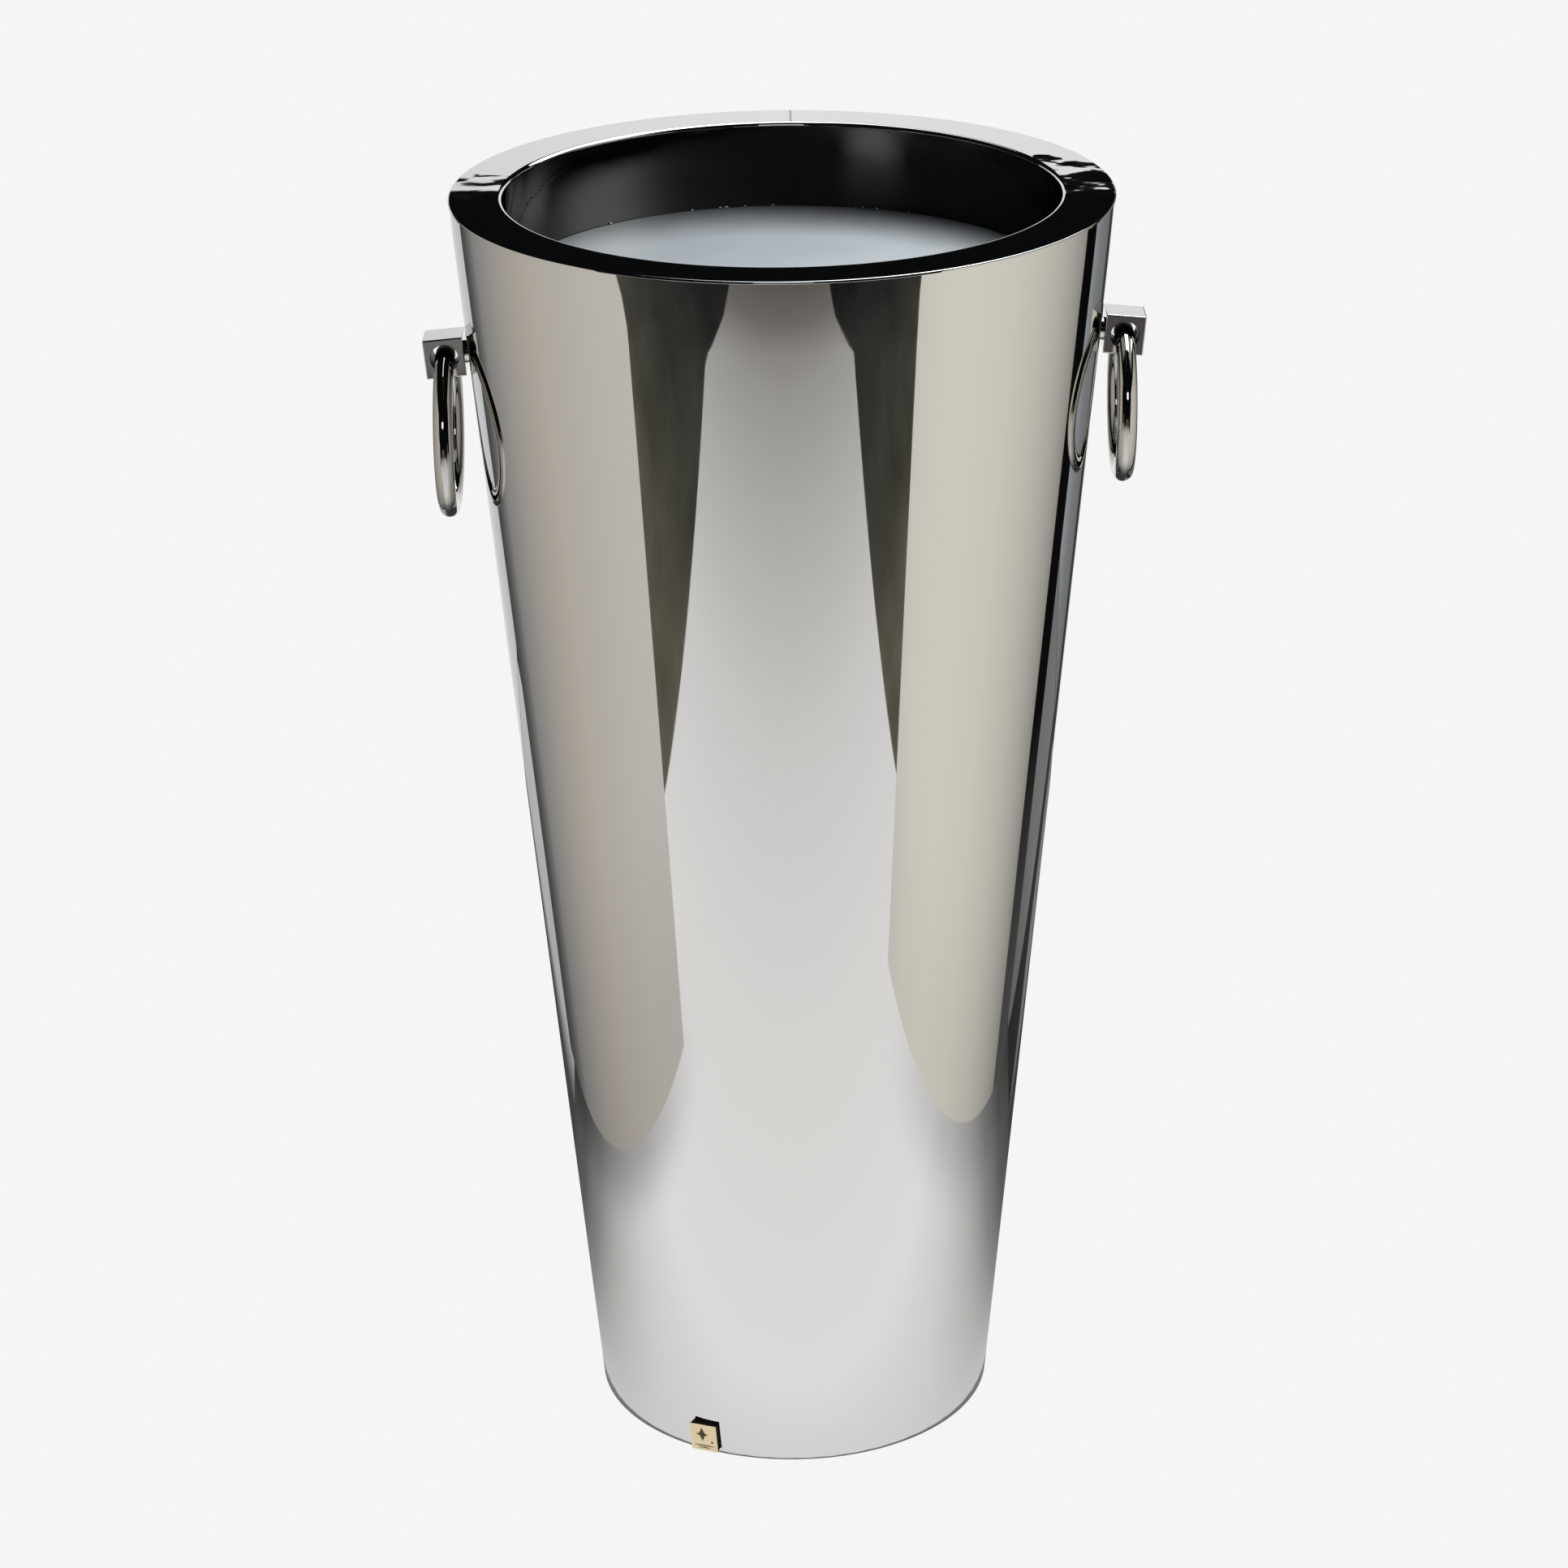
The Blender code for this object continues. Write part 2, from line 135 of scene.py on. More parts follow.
def mirror_polished_stainless(name, colour, ripples, haze=0.028, rougher=None):
    """Stainless sheet, ground and buffed to a mirror. The eye sees the room in it, and the reflections
    wander a little, because the sheet isn't quite true. Ripples are (wavelength, height) in metres.
    Rougher makes them grow between two places along X, where the sheet was worked harder."""
    made, tree, output = empty_material(name)
    place = add(tree, "ShaderNodeTexCoord").outputs["Object"]
    normal = None
    for length, height in ripples:
        swell = add(
            tree, "ShaderNodeTexNoise", inputs={"Vector": place, "Scale": 1 / length, "Detail": 1.0, "Roughness": 0.4}
        )
        bump = add(
            tree, "ShaderNodeBump", inputs={"Height": swell.outputs["Fac"], "Distance": height, "Strength": 1.0}
        )
        if rougher:
            side = add(tree, "ShaderNodeSeparateXYZ", inputs={"Vector": place})
            start, end, most = rougher
            worked = add(
                tree,
                "ShaderNodeMapRange",
                inputs={
                    "Value": side.outputs["X"],
                    "From Min": start,
                    "From Max": end,
                    "To Min": height,
                    "To Max": height * most,
                },
            )
            tree.links.new(worked.outputs["Result"], bump.inputs["Distance"])
        if normal:
            tree.links.new(normal, bump.inputs["Normal"])
        normal = bump.outputs["Normal"]
    # Buffing haze in patches of about 40 mm, so faint that it only softens the mirror here and there.
    smear = add(tree, "ShaderNodeTexNoise", inputs={"Vector": place, "Scale": 25.0, "Detail": 3.0})
    blur = add(
        tree,
        "ShaderNodeMapRange",
        inputs={
            "Value": smear.outputs["Fac"],
            "From Min": 0.35,
            "From Max": 0.7,
            "To Min": haze * 0.6,
            "To Max": haze * 1.4,
        },
    )
    shader = add(
        tree,
        "ShaderNodeBsdfPrincipled",
        inputs={"Base Color": linear(colour), "Metallic": 1.0, "Roughness": blur.outputs["Result"]},
    )
    if normal:
        tree.links.new(normal, shader.inputs["Normal"])
    tree.links.new(shader.outputs["BSDF"], output.inputs["Surface"])
    return made


def polished_round_bar(name):
    """Drawn round bar, bent, welded shut and buffed by hand. It is as bright as the sheet but less even,
    with soft dents from the wheel and a few pinholes."""
    made, tree, output = empty_material(name)
    place = add(tree, "ShaderNodeTexCoord").outputs["Object"]
    dents = add(tree, "ShaderNodeTexNoise", inputs={"Vector": place, "Scale": 110.0, "Detail": 1.0})
    bump = add(tree, "ShaderNodeBump", inputs={"Height": dents.outputs["Fac"], "Distance": 0.00012, "Strength": 1.0})
    # Pinholes of about 0.6 mm, one every 20 mm or so. They are not cut, only coloured dark brown: painted shade in
    # the pits.
    holes = add(tree, "ShaderNodeTexVoronoi", inputs={"Vector": place, "Scale": 70.0})
    pinhole_shade = add(
        tree,
        "ShaderNodeMapRange",
        inputs={"Value": holes.outputs["Distance"], "From Min": 0.03, "From Max": 0.06, "To Min": 1.0, "To Max": 0.0},
    )
    tone = add(
        tree,
        "ShaderNodeMix",
        {"data_type": "RGBA"},
        {0: pinhole_shade.outputs["Result"], 6: linear("#C4C3BF"), 7: linear("#4A4038")},
    )
    shader = add(
        tree,
        "ShaderNodeBsdfPrincipled",
        inputs={
            "Base Color": tone.outputs[2],
            "Metallic": 1.0,
            "Roughness": 0.05,
            "Normal": bump.outputs["Normal"],
        },
    )
    tree.links.new(shader.outputs["BSDF"], output.inputs["Surface"])
    return made


def satin_stainless(name, colour, roughness):
    """Stainless sheet rubbed with fine abrasive. The eye sees an even, soft, slightly cool sheen. Real
    scratches are 0.05 mm apart. They are drawn 0.5 mm apart here, so that they show."""
    made, tree, output = empty_material(name)
    place = add(tree, "ShaderNodeTexCoord").outputs["Object"]
    grain = add(tree, "ShaderNodeTexNoise", inputs={"Vector": place, "Scale": 2000.0, "Detail": 2.0})
    bump = add(tree, "ShaderNodeBump", inputs={"Height": grain.outputs["Fac"], "Distance": 0.00001, "Strength": 0.6})
    cloud = add(tree, "ShaderNodeTexNoise", inputs={"Vector": place, "Scale": 14.0, "Detail": 2.0})
    blur = add(
        tree,
        "ShaderNodeMapRange",
        inputs={
            "Value": cloud.outputs["Fac"],
            "From Min": 0.3,
            "From Max": 0.7,
            "To Min": roughness - 0.03,
            "To Max": roughness + 0.03,
        },
    )
    shader = add(
        tree,
        "ShaderNodeBsdfPrincipled",
        inputs={
            "Base Color": linear(colour),
            "Metallic": 1.0,
            "Roughness": blur.outputs["Result"],
            "Normal": bump.outputs["Normal"],
        },
    )
    tree.links.new(shader.outputs["BSDF"], output.inputs["Surface"])
    return made


def rough_metal(name, light, dark, grain_mm, depth, roughness):
    """Metal left as it came, such as rolled plate, zinc-plated bolts or sand-cast iron. The eye sees two
    close tones in patches, over a grain of the given size."""
    made, tree, output = empty_material(name)
    place = add(tree, "ShaderNodeTexCoord").outputs["Object"]
    patches = add(tree, "ShaderNodeTexNoise", inputs={"Vector": place, "Scale": 60.0, "Detail": 4.0})
    tone = add(
        tree,
        "ShaderNodeMix",
        {"data_type": "RGBA"},
        {0: patches.outputs["Fac"], 6: linear(light), 7: linear(dark)},
    )
    grain = add(tree, "ShaderNodeTexNoise", inputs={"Vector": place, "Scale": 1000 / grain_mm, "Detail": 3.0})
    bump = add(tree, "ShaderNodeBump", inputs={"Height": grain.outputs["Fac"], "Distance": depth, "Strength": 0.8})
    shader = add(
        tree,
        "ShaderNodeBsdfPrincipled",
        inputs={
            "Base Color": tone.outputs[2],
            "Metallic": 1.0,
            "Roughness": roughness,
            "Normal": bump.outputs["Normal"],
        },
    )
    tree.links.new(shader.outputs["BSDF"], output.inputs["Surface"])
    return made


def matt_black(name, colour, cell_mm, depth, roughness):
    """Moulded rubber or cut foam tape. The eye sees a dead black with a pore or grain of the given size."""
    made, tree, output = empty_material(name)
    place = add(tree, "ShaderNodeTexCoord").outputs["Object"]
    pores = add(tree, "ShaderNodeTexVoronoi", inputs={"Vector": place, "Scale": 1000 / cell_mm})
    bump = add(
        tree, "ShaderNodeBump", inputs={"Height": pores.outputs["Distance"], "Distance": depth, "Strength": 1.0}
    )
    # Darker towards each pore's middle, where the bump is lowest: painted shade in the pores.
    tone = add(
        tree,
        "ShaderNodeMix",
        {"data_type": "RGBA"},
        {0: pores.outputs["Distance"], 6: linear("#050505"), 7: linear(colour)},
    )
    shader = add(
        tree,
        "ShaderNodeBsdfPrincipled",
        inputs={
            "Base Color": tone.outputs[2],
            "Metallic": 0.0,
            "Roughness": roughness,
            "IOR": 1.5,
            "Normal": bump.outputs["Normal"],
        },
    )
    tree.links.new(shader.outputs["BSDF"], output.inputs["Surface"])
    return made


def satin_gilt(name):
    """Thin brass plate with a pale satin gilding. The eye sees a warm, even cream gold, hardly shiny."""
    made, tree, output = empty_material(name)
    place = add(tree, "ShaderNodeTexCoord").outputs["Object"]
    brushing = add(tree, "ShaderNodeMapping", inputs={"Vector": place, "Scale": (1.0, 1.0, 8.0)})
    lines = add(
        tree, "ShaderNodeTexNoise", inputs={"Vector": brushing.outputs["Vector"], "Scale": 900.0, "Detail": 2.0}
    )
    bump = add(tree, "ShaderNodeBump", inputs={"Height": lines.outputs["Fac"], "Distance": 0.00002, "Strength": 0.6})
    wear = add(tree, "ShaderNodeTexNoise", inputs={"Vector": place, "Scale": 160.0, "Detail": 3.0})
    tone = add(
        tree,
        "ShaderNodeMix",
        {"data_type": "RGBA"},
        {0: wear.outputs["Fac"], 6: linear("#EFDFC0"), 7: linear("#E0CDA2")},
    )
    shader = add(
        tree,
        "ShaderNodeBsdfPrincipled",
        inputs={
            "Base Color": tone.outputs[2],
            "Metallic": 0.75,
            "Roughness": 0.5,
            "Normal": bump.outputs["Normal"],
        },
    )
    tree.links.new(shader.outputs["BSDF"], output.inputs["Surface"])
    return made


def engraving_enamel(name):
    """Brown stoving enamel wiped into the engraving. The eye sees soft dark brown lines."""
    made, tree, output = empty_material(name)
    place = add(tree, "ShaderNodeTexCoord").outputs["Object"]
    thin = add(tree, "ShaderNodeTexNoise", inputs={"Vector": place, "Scale": 1500.0, "Detail": 2.0})
    tone = add(
        tree,
        "ShaderNodeMix",
        {"data_type": "RGBA"},
        {0: thin.outputs["Fac"], 6: linear("#33230C"), 7: linear("#4A3614")},
    )
    shader = add(
        tree,
        "ShaderNodeBsdfPrincipled",
        inputs={"Base Color": tone.outputs[2], "Metallic": 0.0, "Roughness": 0.55},
    )
    tree.links.new(shader.outputs["BSDF"], output.inputs["Surface"])
    return made


STEEL = "#DADAD9"
cone_steel = mirror_polished_stainless("mirror_polished_rolled_cone", STEEL, [(0.15, 0.00006), (0.03, 0.000004)])
rim_steel = mirror_polished_stainless(
    "mirror_polished_spun_rim", STEEL, [(0.045, 0.0002), (0.02, 0.00006), (0.009, 0.00001)], 0.02, (0.1, 0.18, 3.5)
)
# The bore's steel is coloured dark grey as painted shade inside the bore; its dull roughness is the drilled finish.
bore_painted_shade_steel = rough_metal("drilled_bore_painted_shade", "#4A4A49", "#3A3A39", 0.5, 0.00002, 0.3)
block_steel = mirror_polished_stainless("mirror_polished_milled_block", STEEL, [(0.02, 0.00001)], 0.045)
bar_steel = polished_round_bar("polished_round_bar")
satin_steel = satin_stainless("satin_stainless_sheet", "#C6C9CC", 0.5)
bead_steel = rough_metal("polished_weld_bead", "#C9C8C4", "#9A9994", 0.8, 0.00008, 0.16)
plate_steel = rough_metal("hot_rolled_plate", "#8C8C8E", "#6E6F72", 0.6, 0.00005, 0.42)
zinc = rough_metal("bright_zinc_plate", "#B9BCC0", "#A3A69E", 0.4, 0.00002, 0.3)
iron = rough_metal("sand_cast_iron", "#4A4A4C", "#343436", 1.2, 0.0002, 0.65)
rubber = matt_black("moulded_black_rubber", "#1E1E1E", 1.5, 0.00004, 0.75)
foam = matt_black("closed_cell_black_foam", "#161616", 0.7, 0.00015, 0.92)
gilt = satin_gilt("satin_gilt_brass")
enamel = engraving_enamel("brown_engraving_enamel")


# ---------------------------------------------------------------- making pieces


def deselect():
    if bpy.context.object and bpy.context.object.mode != "OBJECT":
        bpy.ops.object.mode_set(mode="OBJECT")
    bpy.ops.object.select_all(action="DESELECT")


def only(piece):
    """Makes this piece the one selected, active piece."""
    deselect()
    piece.select_set(True)
    bpy.context.view_layer.objects.active = piece


def name_piece(name):
    piece = bpy.context.object
    piece.name = name
    piece.data.name = name
    return piece


def apply_all(piece):
    """Applies every modifier, in order."""
    only(piece)
    for change in list(piece.modifiers):
        bpy.ops.object.modifier_apply(modifier=change.name)


def finish_surface(piece, angle=35):
    """Smooth shading that keeps the flats flat, as on metal that was ground before it was buffed."""
    only(piece)
    bpy.ops.object.shade_smooth_by_angle(angle=math.radians(angle))
    flats = piece.modifiers.new("flats", "WEIGHTED_NORMAL")
    flats.mode = "FACE_AREA"
    flats.weight = 100
    flats.keep_sharp = True
    apply_all(piece)


def arc(centre, radius, start, end, steps):
    """Points on an arc of the half section, angles in degrees."""
    angles = [math.radians(start + (end - start) * i / steps) for i in range(steps + 1)]
    return [(centre[0] + radius * math.cos(a), centre[1] + radius * math.sin(a)) for a in angles]


def turn(name, outline, steps):
    """Draws a half section point by point, as (radius, height), and spins it about the Z axis."""
    deselect()
    bpy.ops.mesh.primitive_plane_add(size=MM)
    piece = name_piece(name)
    bpy.ops.object.mode_set(mode="EDIT")
    bpy.ops.mesh.merge(type="CENTER")
    bpy.ops.transform.translate(value=(outline[0][0], 0, outline[0][1]))
    path = outline + ([outline[0]] if outline[0][0] > 0 else [])
    for (radius, height), (next_radius, next_height) in zip(path, path[1:]):
        step = (next_radius - radius, 0, next_height - height)
        bpy.ops.mesh.extrude_region_move(TRANSFORM_OT_translate={"value": step})
    bpy.ops.mesh.select_all(action="SELECT")
    bpy.ops.mesh.remove_doubles(threshold=WELD_TOLERANCE)
    bpy.ops.mesh.spin(steps=steps, angle=2 * math.pi, center=(0, 0, 0), axis=(0, 0, 1))
    bpy.ops.mesh.select_all(action="SELECT")
    bpy.ops.mesh.remove_doubles(threshold=WELD_TOLERANCE)
    bpy.ops.mesh.normals_make_consistent(inside=False)
    bpy.ops.object.mode_set(mode="OBJECT")
    return piece


def settle(piece, place):
    """Moves a piece that was made at the origin to its place, and leaves that place in its mesh."""
    only(piece)
    piece.matrix_world = place
    bpy.ops.object.transform_apply(location=True, rotation=True, scale=True)
    return piece


def fit(piece, body, slot, steel, *nodes):
    """Gives a piece its finish and its body, and hides the CAD nodes that it stands for."""
    piece.data.materials.clear()
    piece.data.materials.append(steel)
    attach(piece, body)
    if nodes:
        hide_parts(*nodes)
    return piece


def cone_radius(height):
    return CONE_FOOT + (RIM_RADIUS - CONE_FOOT) * height / RIM_TOP


def make_shell():
    """The rolled cone, up to the rim's sheet, with its lower edge turned in."""
    across = SHEET / math.cos(TAPER)
    top = RIM_TOP - RIM_SHEET
    bottom = SHELL_BOTTOM
    lip_top = bottom + SHEET
    lip = cone_radius(bottom) - across - SHELL_LIP
    corner = (cone_radius(bottom + SHELL_EDGE) - SHELL_EDGE, bottom + SHELL_EDGE)
    outline = arc(corner, SHELL_EDGE, 0, -90, 6)[::-1]
    outline += [(cone_radius(z), z) for z in (bottom + SHELL_EDGE * 2, 0.1, 0.25, 0.4, 0.55, 0.7)]
    # Near the rim the outside curves in, and the inside goes in with it.
    for step in range(1, 13):
        share = step / 12
        z = top - SHELL_PULL_HEIGHT * (1 - share)
        outline.append((cone_radius(z) - SHELL_PULL * share**2, z))
    outline.append((cone_radius(top) - across - SHELL_PULL, top))
    outline += [(cone_radius(z) - across, z) for z in (top - SHELL_PULL_HEIGHT, 0.4, lip_top)]
    outline += [(lip, lip_top), (lip, bottom)]
    shell = turn("shell", outline, 320)
    for side in HANDLE_DROPS:
        plug = [(0, -6 * MM), (STUD_HOLE, -6 * MM), (STUD_HOLE, 4 * MM), (0, 4 * MM)]
        cutter = turn(f"stud_hole_{side}", plug, 48)
        settle(cutter, handle_place(side) @ Matrix.Rotation(math.pi / 2, 4, "Y"))
        cut(shell, cutter)
    finish_surface(shell, 25)
    return fit(shell, "bucket", "polished_steel", cone_steel, "outer_shell")


def cut(target, cutter):
    """Takes the cutter out of the target."""
    only(target)
    change = target.modifiers.new("cut", "BOOLEAN")
    change.operation = "DIFFERENCE"
    change.solver = "EXACT"
    change.object = cutter
    apply_all(target)
    bpy.data.objects.remove(cutter)


def make_rim():
    """Flat rim, rolled bend and basin wall, spun from one sheet, with the lip that carries the floor."""
    under = RIM_TOP - RIM_SHEET
    bend_start = RIM_RADIUS - RIM_WIDTH
    bend = (bend_start, RIM_TOP - RIM_BEND)
    wall_foot = BASIN_RADIUS - BASIN_TAPER
    lip_top = BASIN_FLOOR - FLOOR_SHEET
    outline = [(RIM_RADIUS - 0.2 * MM, under), (RIM_RADIUS, under + 0.2 * MM)]
    outline += arc((RIM_RADIUS - RIM_EDGE, RIM_TOP - RIM_EDGE), RIM_EDGE, 0, 90, 8)
    across = (RIM_RADIUS - 1.2 * MM, 0.192, 0.185, 0.178, bend_start + 0.4 * MM)
    outline += [(radius, RIM_TOP) for radius in across]
    outline += arc(bend, RIM_BEND, 90, 180, 12)
    wall_top = (BASIN_RADIUS, RIM_TOP - RIM_BEND)
    for share in (0.02, 0.5, 0.98, 1.0):
        outline.append((wall_top[0] - BASIN_TAPER * share, wall_top[1] + (lip_top - wall_top[1]) * share))
    outline += [
        (wall_foot - FLOOR_LIP, lip_top),
        (wall_foot - FLOOR_LIP, lip_top - RIM_SHEET),
        (wall_foot + RIM_SHEET, lip_top - RIM_SHEET),
    ]
    outline += arc(bend, RIM_BEND - RIM_SHEET, 180, 90, 4)
    rim = turn("rim_and_basin_wall", outline, 320)
    finish_surface(rim, 30)
    return fit(rim, "bucket", "polished_steel", rim_steel, "rim_collar")


def make_basin_floor():
    """Satin disc with a small broken edge, welded in at the foot of the wall."""
    low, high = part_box("basin_floor")
    radius = high.x
    outline = [(0, low.z), (radius, low.z), (radius, high.z - FLOOR_EDGE), (radius - FLOOR_EDGE, high.z)]
    outline += [(share * radius, high.z) for share in (0.97, 0.8, 0.6, 0.4, 0.2)] + [(0, high.z)]
    disc = turn("basin_floor_disc", outline, 256)
    finish_surface(disc)
    return fit(disc, "bucket", "satin_steel", satin_steel, "basin_floor")


# Degrees right of the middle of the back
BEAD_ANGLES = [-20.4, -14, -12.6, -8.4, -2.2, 16.3, 17.9, 21.2, 29, 58, 63]
BEAD_ANGLES += [92, 131, 136, 158, 190, 207, 213, 248, 281, 288, 319]


def make_tack_welds():
    """Small buffed weld beads in the corner between basin wall and floor, uneven as hand welding leaves them."""
    beads = []
    for number, angle in enumerate(BEAD_ANGLES):
        deselect()
        bpy.ops.mesh.primitive_uv_sphere_add(segments=20, ring_count=12, radius=1.0 * MM)
        bead = name_piece(f"bead_{number}")
        bpy.ops.object.mode_set(mode="EDIT")
        long = 1.3 + 0.7 * ((number * 7) % 5) / 4
        bpy.ops.transform.resize(value=(long, 0.75, 0.6), center_override=(0, 0, 0))
        bpy.ops.object.mode_set(mode="OBJECT")
        around = Matrix.Rotation(math.radians(-angle), 4, "Z")
        reach = BASIN_RADIUS - BASIN_TAPER - 0.35 * MM
        settle(bead, around @ Matrix.Translation((0, reach, BASIN_FLOOR + 0.25 * MM)))
        beads.append(bead)
    deselect()
    for bead in beads:
        bead.select_set(True)
    bpy.context.view_layer.objects.active = beads[0]
    bpy.ops.object.join()
    welds = name_piece("basin_tack_welds")
    bpy.ops.object.shade_smooth()
    return fit(welds, "bucket", "polished_steel", bead_steel)


def make_rim_seam():
    """The butt weld across the rim at the back: a narrow bead, ground nearly flush."""
    deselect()
    bpy.ops.mesh.primitive_cube_add(size=1)
    seam = name_piece("rim_seam")
    bpy.ops.object.mode_set(mode="EDIT")
    bpy.ops.transform.resize(value=SEAM_SIZE, center_override=(0, 0, 0))
    bpy.ops.mesh.subdivide(number_cuts=6)
    bpy.ops.object.mode_set(mode="OBJECT")
    crown = seam.modifiers.new("crown", "SUBSURF")
    crown.levels = 2
    crown.render_levels = 2
    apply_all(seam)
    middle = RIM_RADIUS - RIM_WIDTH / 2 - 0.2 * MM
    settle(seam, Matrix.Translation((SEAM_ACROSS, middle, RIM_TOP - 0.12 * MM)))
    bpy.ops.object.shade_smooth()
    return fit(seam, "bucket", "polished_steel", bead_steel)


def handle_place(side):
    """On the shell under an eye, with local X square to the sloping wall."""
    height = RIM_TOP - HANDLE_DROPS[side]
    facing = math.pi if side == "left" else 0
    spot = Vector((cone_radius(height) * math.cos(facing), 0, height))
    return Matrix.Translation(spot) @ Matrix.Rotation(facing, 4, "Z") @ Matrix.Rotation(TAPER, 4, "Y")


def make_eye(side):
    """Square block with eased edges, bored across with a countersunk mouth at each end, and drilled for its stud."""
    deselect()
    bpy.ops.mesh.primitive_cube_add(size=1)
    eye = name_piece(f"eye_{side}")
    bpy.ops.object.mode_set(mode="EDIT")
    bpy.ops.transform.resize(value=(EYE_SIDE, EYE_WIDTH, EYE_SIDE), center_override=(0, 0, 0))
    bpy.ops.object.mode_set(mode="OBJECT")
    ease = eye.modifiers.new("ease", "BEVEL")
    ease.width = EYE_EDGE
    ease.segments = 5
    apply_all(eye)
    half = EYE_WIDTH / 2
    mouth = [(EYE_BORE, half - 0.6 * MM), (EYE_BORE + 0.08 * MM, half - 0.3 * MM), (EYE_FLARE, half)]
    mouth += [(EYE_FLARE + 1 * MM, half + 1 * MM), (0, half + 1 * MM)]
    bore = turn(f"bore_{side}", [(radius, -along) for radius, along in mouth[::-1]] + mouth, 96)
    settle(bore, Matrix.Rotation(math.pi / 2, 4, "X"))
    cut(eye, bore)
    blind = [(0, 0), (3.95 * MM, 0), (3.95 * MM, 2.2 * MM), (0, 2.2 * MM)]
    hole = turn(f"blind_{side}", blind, 48)
    settle(hole, Matrix.Translation((-EYE_SIDE / 2, 0, 0)) @ Matrix.Rotation(math.pi / 2, 4, "Y"))
    cut(eye, hole)
    finish_surface(eye, 30)
    fit(eye, "bucket", "polished_steel", block_steel, f"handle_eye_{side}")
    # The bore's faces take the dark steel: painted shade inside the bore.
    eye.data.materials.append(bore_painted_shade_steel)
    for face in eye.data.polygons:
        inside = math.hypot(face.center.x, face.center.z) < EYE_BORE + 0.1 * MM
        face.material_index = 1 if inside and abs(face.center.y) < half - 1 * MM else 0
    return settle(eye, handle_place(side) @ Matrix.Translation((NECK + EYE_SIDE / 2, 0, 0)))


def make_stud(side):
    """The necked stud. Its neck shows between shell and block, with a small fillet at each end."""
    end = NECK - 0.02 * MM
    outline = [(0, -14 * MM), (STUD_RADIUS, -14 * MM), (STUD_RADIUS, 0.05 * MM), (NECK_RADIUS, 0.05 * MM)]
    waist = NECK_RADIUS - 0.35 * MM
    outline += [(NECK_RADIUS, 0.3 * MM), (waist, 0.6 * MM), (waist, end - 0.6 * MM)]
    outline += [(NECK_RADIUS, end - 0.3 * MM), (NECK_RADIUS, end), (STUD_RADIUS, end)]
    outline += [(STUD_RADIUS, end + STUD_TIP), (0, end + STUD_TIP)]
    stud = turn(f"stud_{side}", outline, 64)
    finish_surface(stud, 40)
    settle(stud, handle_place(side) @ Matrix.Rotation(math.pi / 2, 4, "Y"))
    return fit(stud, "bucket", "polished_steel", block_steel, f"handle_stud_{side}")


def make_ring(side):
    """Closed ring of round bar, hanging where the frame has it."""
    deselect()
    low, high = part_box(f"handle_ring_{side}")
    middle = (low + high) / 2
    bpy.ops.mesh.primitive_circle_add(vertices=40, radius=RING_WIRE, location=(0, RING_RADII[side], 0))
    ring = name_piece(f"ring_{side}")
    bpy.ops.object.transform_apply(location=True, rotation=True, scale=True)
    bpy.ops.object.mode_set(mode="EDIT")
    bpy.ops.mesh.select_all(action="SELECT")
    bpy.ops.mesh.spin(steps=160, angle=2 * math.pi, center=(0, 0, 0), axis=(1, 0, 0))
    bpy.ops.mesh.select_all(action="SELECT")
    bpy.ops.mesh.remove_doubles(threshold=WELD_TOLERANCE)
    bpy.ops.mesh.normals_make_consistent(inside=False)
    bpy.ops.object.mode_set(mode="OBJECT")
    bpy.ops.object.shade_smooth()
    settle(ring, Matrix.Translation(middle))
    return fit(ring, f"ring_{side}", "polished_steel", bar_steel, f"handle_ring_{side}")


def badge_frame():
    """On the shell behind the badge, with local X out through the plate."""
    facing = -math.pi / 2 - BADGE_AZIMUTH
    radius = cone_radius(BADGE_CENTRE)
    spot = Vector((radius * math.cos(facing), radius * math.sin(facing), BADGE_CENTRE))
    lean = Matrix.Rotation(facing, 4, "Z") @ Matrix.Rotation(TAPER, 4, "Y")
    crooked = Matrix.Rotation(BADGE_TWIST, 4, "Z") @ Matrix.Rotation(BADGE_ROLL, 4, "X")
    return Matrix.Translation(spot) @ lean @ crooked


